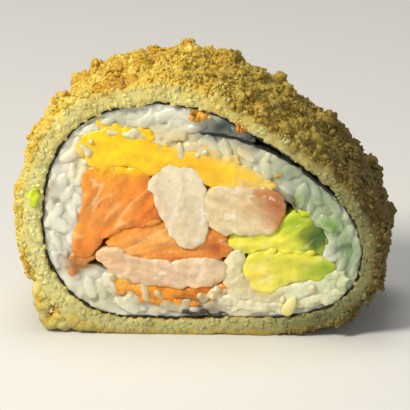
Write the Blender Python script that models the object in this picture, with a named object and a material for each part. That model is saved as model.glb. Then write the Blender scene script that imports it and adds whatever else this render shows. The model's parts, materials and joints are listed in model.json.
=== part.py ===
"""One cut piece of a deep-fried sushi roll, standing on its crust with a cut face to the front.

The roll's axis runs along Y, the front cut face looks along -Y and Z is up. Outlines are read across
the cut face as (x, z) in millimetres above the surface that the piece stands on. From outside in: a
crumbed batter crust, one wound sheet of nori, cooked rice, and fillings that run from face to face.
"""

import math
import random

import bmesh
import bpy
import numpy as np
from mathutils import Euler, Matrix, Vector, noise

MM = 0.001

# Driving sizes, in millimetres
SLICE_LENGTH = 22.0
HALF = SLICE_LENGTH / 2
GAP = 0.25
NORI_THICKNESS = 0.5
LAYER_GAP = 0.2
CRUST_THICKNESS = 2.5
CRUST_THINS_BY = 0.9
CRUST_ROUNDS_OVER = 2.5
CRUMB_SIZE = 2.5
FOOT_CLEARANCE = 2.6
GRAIN_LENGTH = 5.0
GRAIN_WIDTH = 2.2
GRAIN_SPACING = 1.9
BED_MARGIN = 0.4
RIM_EASE = 0.35

# How finely the round shapes are divided
CURVE_STEPS = 16
CRUST_AROUND = 100
CRUST_ALONG = 14
NORI_AROUND = 96
RICE_AROUND = 84
FILLING_AROUND = 30
FLAP_POINTS = 12
CLOSE_POINTS = 120
SHARP_DEG = 40

# Amounts of what is scattered, and how many places are tried for it
CRUMB_COUNT = 62
GRAINS_A_FACE = 52
GRAIN_TRIES = 9000

# The middle of the nori's thickness, round the whole roll
ROLL_EDGE = [
    (-22.5, 17.5), (-21.9, 11.2), (-19.2, 6.3), (-14.6, 3.1), (-8.0, 2.3), (0.0, 2.5), (9.0, 2.6),
    (16.0, 3.8), (20.6, 7.0), (22.4, 12.4), (20.9, 18.2), (17.0, 22.9), (9.6, 28.4), (3.2, 32.4),
    (-3.6, 34.1), (-10.6, 33.4), (-16.6, 30.7), (-20.8, 25.0),
]

# The nori's inner end lies away from the outer layer as a flap, from its tip to where it joins
FLAP_TIP = (-1.2, 29.9)
FLAP_MIDDLE = (4.6, 29.5)
FLAP_JOINS = (11.4, 27.0)
OVERLAP_ENDS = (15.4, 23.6)
OVERLAP_EASE = 0.05

# Each filling as it shows in the cut face
FILLINGS = {
    "cheddar": [
        (-16.2, 27.2), (-14.4, 29.4), (-12.0, 30.1), (-10.3, 28.9), (-8.3, 29.8), (-6.0, 27.6),
        (-2.6, 26.9), (0.8, 27.1), (4.6, 25.4), (9.2, 23.3), (8.6, 22.4), (3.4, 22.5), (1.2, 22.3),
        (-0.3, 24.4), (-2.8, 25.4), (-5.2, 25.1), (-6.6, 24.0), (-9.4, 24.7), (-12.4, 25.0), (-15.4, 24.8),
    ],
    "salmon_block": [
        (-16.6, 23.2), (-13.4, 24.4), (-10.6, 24.2), (-7.6, 23.5), (-7.0, 20.6), (-5.9, 16.9),
        (-10.4, 15.8), (-14.2, 13.9), (-15.8, 11.9), (-17.9, 11.7), (-17.6, 15.0), (-16.4, 19.0),
    ],
    "salmon_strip": [
        (-13.6, 13.4), (-10.0, 15.1), (-5.9, 16.2), (-4.7, 14.6), (-2.9, 12.9), (-0.5, 12.9),
        (1.0, 15.2), (3.2, 15.1), (3.4, 12.4), (0.4, 11.2), (-6.0, 10.9), (-10.4, 11.7),
    ],
    "shrimp_middle": [
        (-6.8, 22.0), (-5.5, 24.2), (-3.0, 24.8), (-0.8, 24.0), (0.3, 21.8), (0.6, 18.4),
        (0.4, 15.3), (-0.8, 13.4), (-2.7, 13.3), (-4.3, 15.2), (-5.7, 18.2),
    ],
    "shrimp_right": [
        (1.0, 21.2), (3.2, 22.0), (6.2, 21.8), (9.4, 21.7), (11.1, 20.8), (11.2, 18.4),
        (10.2, 16.4), (7.8, 15.5), (5.0, 15.4), (2.2, 15.8), (1.0, 17.6),
    ],
    "fish_slab": [
        (-14.6, 11.5), (-13.2, 12.5), (-10.2, 11.1), (-6.0, 10.4), (0.2, 10.8), (2.8, 10.9),
        (2.9, 8.4), (0.8, 7.4), (-5.0, 7.2), (-10.0, 7.9), (-13.2, 9.5),
    ],
    "orange_roe": [
        (-12.8, 8.5), (-9.8, 7.1), (-5.0, 6.4), (0.8, 6.7), (2.8, 7.4), (2.8, 6.0), (-0.6, 5.4),
        (-5.2, 5.2), (-9.8, 5.8), (-12.8, 7.1),
    ],
    "avocado_upper": [
        (4.3, 14.6), (7.4, 15.0), (10.6, 16.0), (12.2, 18.2), (14.4, 17.9), (16.7, 15.8),
        (17.0, 13.6), (15.2, 12.5), (11.0, 12.6), (7.4, 12.6), (4.4, 12.9),
    ],
    "avocado_lower": [
        (6.4, 11.7), (9.6, 12.2), (14.0, 12.1), (17.4, 11.3), (18.0, 9.8), (15.4, 8.8),
        (12.0, 8.3), (9.8, 7.1), (7.4, 7.0), (6.3, 8.8),
    ],
    "cream_cheese": [
        (4.0, 12.0), (5.5, 12.1), (5.7, 9.0), (6.8, 6.4), (9.8, 6.5), (12.6, 7.8), (16.0, 8.3),
        (18.4, 8.8), (18.8, 7.4), (16.0, 6.4), (11.0, 5.4), (6.0, 5.3), (3.7, 6.2), (3.5, 9.0),
    ],
}

# The finish of each filling, and how far it stands out of the rice at a cut, in millimetres
FILLING_CUTS = {
    "cheddar": ("cheddar", 0.5),
    "salmon_block": ("salmon", 0.3),
    "salmon_strip": ("salmon", 0.0),
    "shrimp_middle": ("shrimp", 0.7),
    "shrimp_right": ("shrimp", 0.9),
    "fish_slab": ("fish", 0.4),
    "orange_roe": ("roe", 0.2),
    "avocado_upper": ("avocado", 0.1),
    "avocado_lower": ("avocado", 0.4),
    "cream_cheese": ("cream", 0.3),
}

# The part of the cut face where fillings meet, which holds no rice
FILLED_CORE = [
    (-17.6, 9.6), (-19.0, 11.2), (-16.6, 13.4), (-16.0, 24.4), (-5.6, 26.0), (3.0, 23.6), (9.6, 21.9),
    (12.9, 20.2), (14.0, 17.6), (16.8, 12.2), (15.0, 7.6), (9.0, 6.0), (3.4, 6.0), (-10.0, 6.6), (-14.6, 9.4),
]

# Drips of batter and stray crumbs on the crust's front edge: nearest x and z, y from the front, size
BATTER_DRIPS = [
    (-17.6, 1.6, 1.4, 3.0), (-19.8, 2.8, 0.9, 2.0), (-22.8, 4.6, 1.4, 2.0), (-25.2, 18.4, 1.0, 1.6),
    (-24.6, 8.6, 1.0, 1.6), (-9.0, 1.4, 0.9, 1.6), (22.8, 5.6, 1.0, 1.8), (24.2, 9.4, 1.2, 1.6),
]

# Half-width of a grain along its length, both as shares
GRAIN_FORM = [(-0.5, 0.0), (-0.33, 0.4), (0.0, 0.5), (0.33, 0.4), (0.5, 0.0)]
GRAIN_SIDES = 5
GRAIN_FLATNESS = 0.85

SESAME_SEED = {"x": 12.3, "z": 4.5, "length": 3.2, "width": 1.5, "lean_deg": 22.0, "stands_out": 0.3}

MATERIALS = {
    "crust": ("#D9BE55", 0.75),
    "nori": ("#20261A", 0.45),
    "rice": ("#DDDCC6", 0.45),
    "cheddar": ("#F8C314", 0.40),
    "salmon": ("#E87D1C", 0.35),
    "shrimp": ("#E6D6B8", 0.38),
    "fish": ("#DDC0A4", 0.38),
    "roe": ("#E08B22", 0.35),
    "avocado": ("#D3CC4C", 0.45),
    "cream": ("#ECE8D2", 0.40),
}


def clear_scene():
    for obj in list(bpy.data.objects):
        bpy.data.objects.remove(obj, do_unlink=True)


def material(name):
    """A plain Principled finish in the sub-part's colour."""
    found = bpy.data.materials.get(name)
    if found:
        return found
    made = bpy.data.materials.new(name)
    made.use_nodes = True
    hex_colour, roughness = MATERIALS[name]
    channels = [int(hex_colour[i : i + 2], 16) / 255 for i in (1, 3, 5)]
    linear = [c / 12.92 if c <= 0.04045 else ((c + 0.055) / 1.055) ** 2.4 for c in channels]
    shader = made.node_tree.nodes["Principled BSDF"]
    shader.inputs["Base Color"].default_value = (*linear, 1)
    shader.inputs["Roughness"].default_value = roughness
    shader.inputs["Metallic"].default_value = 0.0
    return made


def counter_clockwise(loop):
    x, z = loop[:, 0], loop[:, 1]
    doubled_area = np.sum(x * np.roll(z, -1) - np.roll(x, -1) * z)
    return loop if doubled_area > 0 else loop[::-1].copy()


def evenly_spaced(path, count, closed):
    """`count` points at equal steps along a path of many points."""
    if closed:
        path = np.vstack([path, path[:1]])
    steps = np.linalg.norm(np.diff(path, axis=0), axis=1)
    along = np.concatenate([[0.0], np.cumsum(steps)])
    wanted = np.linspace(0.0, along[-1], count, endpoint=not closed)
    return np.column_stack([np.interp(wanted, along, path[:, i]) for i in range(path.shape[1])])


def smooth_curve(points, count, closed=True):
    """Evenly spaced points on a smooth curve through the given ones, counter-clockwise if closed."""
    knots = np.array(points, float)
    if closed:
        before, after = np.roll(knots, 1, 0), np.roll(knots, -1, 0)
    else:
        before, after = np.vstack([knots[:1], knots[:-1]]), np.vstack([knots[1:], knots[-1:]])
    tangents = (after - before) / 2
    spans = len(knots) if closed else len(knots) - 1
    path = []
    for i in range(spans):
        j = (i + 1) % len(knots)
        for t in np.linspace(0, 1, CURVE_STEPS, endpoint=False):
            path.append(
                knots[i] * (2 * t**3 - 3 * t**2 + 1)
                + tangents[i] * (t**3 - 2 * t**2 + t)
                + knots[j] * (3 * t**2 - 2 * t**3)
                + tangents[j] * (t**3 - t**2)
            )
    if not closed:
        return evenly_spaced(np.array(path + [knots[-1]]), count, False)
    return counter_clockwise(evenly_spaced(np.array(path), count, True))


def outward(loop):
    """Unit normals that point out of a counter-clockwise loop."""
    tangent = np.roll(loop, -1, 0) - np.roll(loop, 1, 0)
    tangent /= np.linalg.norm(tangent, axis=1)[:, None]
    return np.column_stack([tangent[:, 1], -tangent[:, 0]])


def offset(loop, distance):
    """The loop moved outwards by one distance, or by one a point."""
    return loop + outward(loop) * np.reshape(distance, (-1, 1))


def nearest_index(loop, point):
    return int(np.argmin(np.linalg.norm(loop - np.array(point), axis=1)))


def inside(loop, point):
    """True if the point lies within the loop."""
    x, z = point
    x0, z0 = loop[:, 0], loop[:, 1]
    x1, z1 = np.roll(x0, -1), np.roll(z0, -1)
    crosses = (z0 > z) != (z1 > z)
    with np.errstate(divide="ignore", invalid="ignore"):
        at = x0 + (z - z0) * (x1 - x0) / (z1 - z0)
    return bool(np.sum(crosses & (x < at)) % 2)


def distance_to(path, point):
    """Distance from a point to a path of closely spaced points."""
    return float(np.min(np.linalg.norm(path - np.array(point), axis=1)))


def new_object(name, bm, finish):
    """An object from a bmesh whose points are in millimetres, with its faces pointing out."""
    bmesh.ops.recalc_face_normals(bm, faces=bm.faces)
    bmesh.ops.scale(bm, vec=(MM, MM, MM), verts=bm.verts)
    mesh = bpy.data.meshes.new(name)
    bm.to_mesh(mesh)
    bm.free()
    mesh.materials.append(material(finish))
    obj = bpy.data.objects.new(name, mesh)
    bpy.context.scene.collection.objects.link(obj)
    return obj


def bridge(bm, first, second):
    """Quads between two closed rings of vertices with the same number of points."""
    count = len(first)
    for i in range(count):
        j = (i + 1) % count
        bm.faces.new((first[i], first[j], second[j], second[i]))


def loft(name, sections, finish):
    """A closed solid through (y, loop) sections, with flat ends."""
    bm = bmesh.new()
    rings = [[bm.verts.new((x, y, z)) for x, z in loop] for y, loop in sections]
    for near, far in zip(rings, rings[1:]):
        bridge(bm, near, far)
    bm.faces.new(rings[0])
    bm.faces.new(rings[-1])
    return new_object(name, bm, finish)


def tube(name, rings, finish):
    """A closed ring-shaped solid: each ring of points joins the next, and the last joins the first."""
    bm = bmesh.new()
    made = [[bm.verts.new(point) for point in ring] for ring in rings]
    for near, far in zip(made, made[1:] + made[:1]):
        bridge(bm, near, far)
    return new_object(name, bm, finish)


def strip(name, centreline, thickness, reach, finish):
    """A thin sheet of one thickness that follows an open centreline, from -reach to reach along Y."""
    tangent = np.gradient(centreline, axis=0)
    tangent /= np.linalg.norm(tangent, axis=1)[:, None]
    side = np.column_stack([tangent[:, 1], -tangent[:, 0]]) * thickness / 2
    bm = bmesh.new()
    rings = []
    for point, step in zip(centreline, side):
        corners = [(point + step, -reach), (point + step, reach), (point - step, reach), (point - step, -reach)]
        rings.append([bm.verts.new((x, y, z)) for (x, z), y in corners])
    for near, far in zip(rings, rings[1:]):
        bridge(bm, near, far)
    bm.faces.new(rings[0])
    bm.faces.new(rings[-1])
    return new_object(name, bm, finish)


def fuse(body, pieces):
    """Joins scattered pieces to the body they lie on with one Boolean union, and removes them."""
    group = bpy.data.collections.new(body.name + "_scatter")
    bpy.context.scene.collection.children.link(group)
    for piece in pieces:
        bpy.context.scene.collection.objects.unlink(piece)
        group.objects.link(piece)
    union = body.modifiers.new("fused", "BOOLEAN")
    union.operation = "UNION"
    union.operand_type = "COLLECTION"
    union.collection = group
    union.solver = "MANIFOLD"
    bpy.context.view_layer.objects.active = body
    bpy.ops.object.modifier_apply(modifier=union.name)
    for piece in pieces:
        bpy.data.objects.remove(piece, do_unlink=True)
    bpy.data.collections.remove(group)


def cut(body, cutters):
    """Cuts each cutter out of the body, and removes the cutters."""
    bpy.context.view_layer.objects.active = body
    for cutter in cutters:
        difference = body.modifiers.new("cut", "BOOLEAN")
        difference.operation = "DIFFERENCE"
        difference.object = cutter
        bpy.ops.object.modifier_apply(modifier=difference.name)
        bpy.data.objects.remove(cutter, do_unlink=True)


def place(obj, x, y, z):
    obj.data.transform(Matrix.Translation((x * MM, y * MM, z * MM)))
    return obj


def tilt_in_face(obj, angle):
    """Turns a piece that lies along X by an angle across the cut face."""
    obj.data.transform(Euler((0, -angle, 0)).to_matrix().to_4x4())


def overlap_lift(loop):
    """0 to 1 along the loop: 1 where two layers of nori lie on each other, easing to 0 beyond."""
    start = nearest_index(loop, FLAP_JOINS)
    end = nearest_index(loop, OVERLAP_ENDS)
    low, high = min(start, end), max(start, end)
    index = np.arange(len(loop))
    beyond = np.maximum(0, np.maximum(low - index, index - high))
    return np.clip(1 - beyond / (OVERLAP_EASE * len(loop)), 0, 1)


def nori_path():
    """The wound sheet's centreline: in from the flap's tip, once round, and over its own start."""
    edge = smooth_curve(ROLL_EDGE, 2 * NORI_AROUND)
    count = len(edge)
    joins, ends = nearest_index(edge, FLAP_JOINS), nearest_index(edge, OVERLAP_ENDS)
    # The loop runs counter-clockwise and the sheet winds down it backwards, a little over one turn
    turn = np.arange(joins, ends - count - 1, -1)
    layer = np.where(turn > joins - count / 2, -1, 1)
    shift = layer * overlap_lift(edge)[turn % count] * (NORI_THICKNESS + LAYER_GAP) / 2
    wound = edge[turn % count] + outward(edge)[turn % count] * shift[:, None]
    lead_in = smooth_curve([FLAP_TIP, FLAP_MIDDLE, wound[1]], FLAP_POINTS, closed=False)
    return evenly_spaced(np.vstack([lead_in[:-1], wound[1:]]), NORI_AROUND, False)


def crumb(name, size, seed, finish):
    """One irregular shard of crumb, a few millimetres across, centred on the origin."""
    draw = random.Random(seed)
    bm = bmesh.new()
    bmesh.ops.create_icosphere(bm, subdivisions=1, radius=1.0)
    for vert in bm.verts:
        vert.co *= draw.uniform(0.72, 1.25)
    half = Vector((0.62, 0.44, 0.30)) * size * draw.uniform(0.75, 1.2)
    bmesh.ops.scale(bm, vec=half, verts=bm.verts)
    turn = Euler([draw.uniform(0, math.tau) for _ in range(3)]).to_matrix()
    bmesh.ops.rotate(bm, matrix=turn, verts=bm.verts)
    return new_object(name, bm, finish)


def crag(x, y, z):
    """Height of the fried relief over the batter at a point, in millimetres."""
    broad = noise.noise(Vector((x, y, z)) / 6.5)
    knobs = abs(noise.noise(Vector((x + 40, y, z)) / 2.7))
    grit = noise.noise(Vector((x, y + 70, z)) / 1.1)
    return 0.55 * broad + 1.5 * knobs + 0.35 * grit


def crust_thickness(x):
    """The batter is thickest at the left and thins towards the right."""
    left, right = ROLL_EDGE[0][0], -ROLL_EDGE[0][0]
    return CRUST_THICKNESS - CRUST_THINS_BY * (x - left) / (right - left)


def make_crust(edge):
    """The batter from its rough outer side, rounded over at the cuts, to where it lies on the nori."""
    lies_at = NORI_THICKNESS / 2 + GAP
    inner = offset(edge, lies_at + (NORI_THICKNESS + LAYER_GAP) / 2 * overlap_lift(edge))
    outer = offset(edge, lies_at + np.array([crust_thickness(x) for x, _ in edge]))
    normals = outward(outer)

    def outer_ring(y):
        points = []
        from_cut = min(1.0, (HALF - abs(y)) / CRUST_ROUNDS_OVER)
        for (x, z), (nx, nz) in zip(outer, normals):
            lift = crag(x, y, z) * (0.45 + 0.55 * from_cut) - 0.5 * (1 - from_cut)
            points.append((x + nx * lift, y, max(0.0, z + nz * lift)))
        return points

    def cut_ring(y):
        side = math.copysign(1.0, y)
        points = []
        for x, z in (inner + outer) / 2:
            points.append((x, y + side * (0.25 + 0.5 * noise.noise(Vector((x, y, z)) / 1.8)), z))
        return points

    rows = np.linspace(-HALF, HALF, CRUST_ALONG + 1)
    rings = [cut_ring(-HALF)] + [outer_ring(y) for y in rows] + [cut_ring(HALF)]
    rings += [[(x, y, z) for x, z in inner] for y in (HALF, -HALF)]
    crust = tube("crust", rings, "crust")
    fuse(crust, crumbs_on(outer, normals) + batter_drips(outer))
    return crust


def crumbs_on(outer, normals):
    """Crumbs all over the crust's outer side, set in by about a half, none at the flat foot."""
    draw = random.Random(7)
    made = []
    while len(made) < CRUMB_COUNT:
        i = draw.randrange(len(outer))
        y = draw.uniform(-HALF + 1.0, HALF - 1.0)
        sits_at = draw.uniform(0.0, 0.5)
        (x, z), (nx, nz) = outer[i], normals[i]
        if z < FOOT_CLEARANCE:
            continue
        piece = crumb(f"crumb_{len(made)}", CRUMB_SIZE * draw.uniform(0.7, 1.25), draw.random(), "crust")
        made.append(place(piece, x + nx * sits_at, y, z + nz * sits_at))
    return made


def batter_drips(outer):
    """Larger lumps at set places on the front edge, none lower than the foot."""
    made = []
    for n, (near_x, near_z, inset, size) in enumerate(BATTER_DRIPS):
        x, z = outer[nearest_index(outer, (near_x, near_z))]
        piece = crumb(f"drip_{n}", size, 100 + n, "crust")
        place(piece, x, -HALF + inset, z)
        for vert in piece.data.vertices:
            vert.co.z = max(vert.co.z, 0.0)
        made.append(piece)
    return made


def filling_loop(name):
    return smooth_curve(FILLINGS[name], FILLING_AROUND)


def make_filling(name):
    """A filling from face to face, with its rims eased where the knife left it."""
    finish, stands_out = FILLING_CUTS[name]
    loop = filling_loop(name)
    rim = offset(loop, -RIM_EASE)
    end = HALF + stands_out
    sections = [(-end, rim), (-end + RIM_EASE, loop), (end - RIM_EASE, loop), (end, rim)]
    return loft(name, sections, finish)


def grain(name, length, width, seed):
    """One cooked grain of rice or a seed, along X: rings of five points between two tips."""
    draw = random.Random(seed)
    bm = bmesh.new()
    rings = []
    for along, half in GRAIN_FORM[1:-1]:
        ring = []
        for k in range(GRAIN_SIDES):
            around = math.tau * (k + draw.uniform(-0.1, 0.1)) / GRAIN_SIDES
            y = math.sin(around) * width * half * GRAIN_FLATNESS
            z = math.cos(around) * width * half
            ring.append(bm.verts.new((along * length, y, z)))
        rings.append(ring)
    for near, far in zip(rings, rings[1:]):
        bridge(bm, near, far)
    for along, ring in ((GRAIN_FORM[0][0], rings[0]), (GRAIN_FORM[-1][0], rings[-1])):
        tip = bm.verts.new((along * length, 0, 0))
        for k in range(GRAIN_SIDES):
            bm.faces.new((tip, ring[k], ring[(k + 1) % GRAIN_SIDES]))
    bmesh.ops.triangulate(bm, faces=bm.faces)
    return new_object(name, bm, "rice")


def grains_on_face(rim, clear_of, flap, side):
    """Grains that show on one cut face, lying about along the winding, clear of nori and fillings."""
    draw = random.Random(20 + side)
    low, high = rim.min(0), rim.max(0)
    centre = (low + high) / 2
    # Places along a grain, and the room that it needs beside each
    needs = [(share * GRAIN_LENGTH, half * GRAIN_WIDTH + 0.1) for share, half in GRAIN_FORM]
    made, centres = [], []
    for _ in range(GRAIN_TRIES):
        if len(made) == GRAINS_A_FACE:
            break
        middle = low + (high - low) * np.array([draw.random(), draw.random()])
        lean = draw.gauss(0, 0.5)
        if not inside(rim, middle):
            continue
        if centres and distance_to(np.array(centres), middle) < GRAIN_SPACING:
            continue
        angle = math.atan2(*(middle - centre)[::-1]) + math.pi / 2 + lean
        run = np.array([math.cos(angle), math.sin(angle)])
        spots = [(middle + run * along, room) for along, room in needs]
        if any(not inside(rim, s) or distance_to(rim, s) < room for s, room in spots):
            continue
        if any(distance_to(flap, s) < room + NORI_THICKNESS / 2 + GAP for s, room in spots):
            continue
        if any(inside(loop, s) or distance_to(loop, s) < room for loop in clear_of for s, room in spots):
            continue
        piece = grain(f"grain_{len(made)}", GRAIN_LENGTH * draw.uniform(0.8, 1.05), GRAIN_WIDTH, draw.random())
        tilt_in_face(piece, angle)
        made.append(place(piece, middle[0], side * (HALF - draw.uniform(0.1, 0.45)), middle[1]))
        centres.append(middle)
    return made


def sesame_seed():
    """The one seed that shows, flat on the rice at the front."""
    seed = grain("seed", SESAME_SEED["length"], SESAME_SEED["width"], 3)
    tilt_in_face(seed, math.radians(SESAME_SEED["lean_deg"]))
    return place(seed, SESAME_SEED["x"], -HALF - SESAME_SEED["stands_out"], SESAME_SEED["z"])


def make_rice(edge, sheet):
    """The rice between nori and fillings, with the grains that show at each cut fused on."""
    inward = NORI_THICKNESS / 2 + GAP + 1.3 * (NORI_THICKNESS + LAYER_GAP) / 2 * overlap_lift(edge)
    rim = offset(edge, -inward)
    rice = loft("rice", [(-HALF, rim), (HALF, rim)], "rice")
    past = HALF + 3.0
    beds = [offset(filling_loop(name), BED_MARGIN) for name in FILLINGS]
    beds.append(smooth_curve(FILLED_CORE, RICE_AROUND // 2))
    # The flap's bed is wider than the sheet by the gap on each side, and runs a little past its tip
    flap = sheet[:FLAP_POINTS]
    past_tip = flap[0] - (flap[1] - flap[0]) * 0.3
    flap_bed = strip("flap_bed", np.vstack([past_tip, flap]), NORI_THICKNESS + 2 * GAP, past, "nori")
    cutters = [loft(f"bed_{n}", [(-past, bed), (past, bed)], "rice") for n, bed in enumerate(beds)]
    cut(rice, cutters + [flap_bed])
    clear_of = [evenly_spaced(bed, CLOSE_POINTS, True) for bed in beds]
    close_flap = evenly_spaced(flap, CLOSE_POINTS, False)
    scatter = [sesame_seed()]
    for side in (-1, 1):
        scatter += grains_on_face(rim, clear_of, close_flap, side)
    fuse(rice, scatter)
    return rice


def warp(obj):
    """The same gentle handmade unevenness for every piece, so that the fit between them is kept."""
    for vert in obj.data.vertices:
        x, y, z = (c / MM for c in vert.co)
        back = y / SLICE_LENGTH
        bow = 0.55 * math.sin(x / 13 + 0.7) * math.cos(z / 15) + 0.35 * math.sin(z / 9 + x / 21)
        taper = 1 - 0.035 * back
        vert.co = Vector((x * taper + 0.7 * back * z / 18, y + bow, z * taper)) * MM


def stand_at_origin(objects):
    """Moves all pieces together so that the bottom centre of the whole box is the origin."""
    corners = np.array([v.co for obj in objects for v in obj.data.vertices])
    low, high = corners.min(0), corners.max(0)
    shift = Matrix.Translation((-(low[0] + high[0]) / 2, -(low[1] + high[1]) / 2, -low[2]))
    for obj in objects:
        obj.data.transform(shift)
        obj.data.set_sharp_from_angle(angle=math.radians(SHARP_DEG))


def main():
    clear_scene()
    sheet = nori_path()
    pieces = [
        make_crust(smooth_curve(ROLL_EDGE, CRUST_AROUND)),
        strip("nori", sheet, NORI_THICKNESS, HALF, "nori"),
        make_rice(smooth_curve(ROLL_EDGE, RICE_AROUND), sheet),
    ]
    pieces += [make_filling(name) for name in FILLINGS]
    for piece in pieces:
        warp(piece)
    stand_at_origin(pieces)


main()
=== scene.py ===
"""The looks of one cut piece of a deep-fried sushi roll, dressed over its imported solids.

The roll's axis runs along Y and the front cut face looks along -Y. Places on a cut face are (x, z) in
millimetres. Every dressed piece starts from its own solid or is laid on one, so all keep their place.
"""

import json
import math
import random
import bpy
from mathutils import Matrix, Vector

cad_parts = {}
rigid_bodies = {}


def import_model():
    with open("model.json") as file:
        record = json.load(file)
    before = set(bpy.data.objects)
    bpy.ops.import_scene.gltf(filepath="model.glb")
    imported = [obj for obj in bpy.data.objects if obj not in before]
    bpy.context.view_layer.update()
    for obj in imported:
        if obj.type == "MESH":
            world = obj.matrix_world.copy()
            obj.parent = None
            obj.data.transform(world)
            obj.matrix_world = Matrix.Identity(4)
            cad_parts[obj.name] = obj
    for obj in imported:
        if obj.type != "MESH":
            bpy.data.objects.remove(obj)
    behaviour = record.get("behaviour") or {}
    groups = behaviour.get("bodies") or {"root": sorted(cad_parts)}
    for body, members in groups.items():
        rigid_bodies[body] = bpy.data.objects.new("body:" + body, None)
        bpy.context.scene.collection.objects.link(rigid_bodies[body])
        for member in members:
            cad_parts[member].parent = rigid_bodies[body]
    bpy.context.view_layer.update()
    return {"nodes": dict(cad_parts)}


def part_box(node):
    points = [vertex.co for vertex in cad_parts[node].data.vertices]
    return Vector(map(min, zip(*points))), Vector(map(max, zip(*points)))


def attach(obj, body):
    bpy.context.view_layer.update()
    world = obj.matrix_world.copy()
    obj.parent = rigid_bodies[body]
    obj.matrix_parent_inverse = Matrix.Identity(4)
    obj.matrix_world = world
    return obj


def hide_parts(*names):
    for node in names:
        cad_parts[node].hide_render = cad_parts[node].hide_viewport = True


bl_info = {
    "name": "Fried sushi roll piece",
    "version": (1, 0, 0),
    "blender": (4, 5, 0),
    "location": "3D View > Sidebar > Sushi",
    "description": "Dresses a cut piece of a fried sushi roll: crust, crumbs, nori, rice and fillings",
    "category": "Add Mesh",
}

import bmesh
import bpy
import numpy as np
from bpy.props import FloatProperty, FloatVectorProperty, IntProperty, PointerProperty
from mathutils import Euler, Matrix, Vector, kdtree, noise
from mathutils.bvhtree import BVHTree

for leftover in list(bpy.data.objects):
    bpy.data.objects.remove(leftover)

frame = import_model()

MM = 0.001
BODY = "root"

# Voxel sizes in millimetres: the finest relief that each kind of piece needs
CRUST_VOXEL = 0.32
RICE_VOXEL = 0.45
GRAIN_VOXEL = 0.21
FILLING_VOXEL = 0.25
LUMP_VOXEL = 0.22

# How far a piece swells, in millimetres, to press on its neighbours as in the real roll
CRUST_GROWTH = 0.45
RICE_GROWTH = 0.50
FILLING_GROWTH = 0.50

# The rice between the grains of a cut face lies this much deeper than the cut
RICE_RECESS = 0.32

# The middle of a grain keeps this far from the nori, in millimetres, so that the sheet's edge shows
NORI_CLEARANCE = 0.42

# No dressed piece dips below this height, and crumbs end this far outside the crust's box, in mm
LOWEST = 0.02
CRUMB_REACH = 0.5

# How many different shapes the crumbs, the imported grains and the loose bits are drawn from
CRUMB_SHAPES = 8
GRAIN_SHAPES = 10
LOOSE_SHAPES = 6

# How far a filling's cut face may stand in front of the cut, and the share of the rest that it keeps
FILLING_PROUD = 0.16
FILLING_REST = 0.35

# What colours a surface near each place: x, z, reach across and up in mm, colour, strength
RICE_TINTS = [
    (-20.0, 17.0, 3.0, 6.0, "#D9DAC2", 0.5), (-21.2, 21.5, 1.6, 1.8, "#AFA08A", 0.7),
    (-16.5, 26.0, 2.2, 3.0, "#E3CF7E", 0.6), (-9.0, 31.5, 7.0, 2.2, "#C3C7A6", 0.8),
    (-3.0, 29.2, 5.0, 1.8, "#D9C487", 0.9), (5.5, 27.2, 4.5, 2.0, "#DCCB8A", 0.8),
    (9.8, 23.6, 1.8, 1.6, "#E9D98C", 0.7), (13.0, 25.0, 4.0, 2.4, "#8B9C78", 0.9),
    (3.8, 31.4, 4.0, 1.7, "#1E3A36", 0.99), (8.5, 29.8, 2.8, 1.5, "#223C36", 0.98),
    (18.0, 21.0, 3.4, 3.0, "#7C946C", 0.9), (14.4, 20.4, 1.5, 1.4, "#8FB03A", 0.8),
    (18.8, 17.2, 2.2, 2.0, "#6F9C24", 0.95), (21.2, 13.5, 2.6, 4.0, "#6E8E54", 0.9),
    # On this line and the next, the dark olive at 13.3, 19.8 is painted shade in a hollow, and the browns at
    # -17.6, 10.4 and -15.6, 10.2 are the salmon's colour with painted shade in the hollow left of it.
    (20.0, 8.0, 3.0, 2.6, "#98AE76", 0.8), (13.3, 19.8, 1.2, 1.8, "#3A3406", 0.98),
    (-17.6, 10.4, 2.0, 1.6, "#9C5412", 0.95), (-15.6, 10.2, 1.6, 1.0, "#7A5A14", 0.9),
    (-14.0, 5.8, 4.0, 2.4, "#C9C59C", 0.8), (-4.0, 4.6, 6.0, 1.4, "#BBA97C", 0.9),
    (1.4, 3.8, 2.0, 0.9, "#7B6658", 0.9), (7.0, 4.6, 4.0, 1.4, "#C6BB84", 0.7),
    (15.0, 5.4, 5.0, 1.8, "#AFC292", 0.85), (15.7, 23.0, 2.6, 2.0, "#82937A", 0.4),
]

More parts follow.
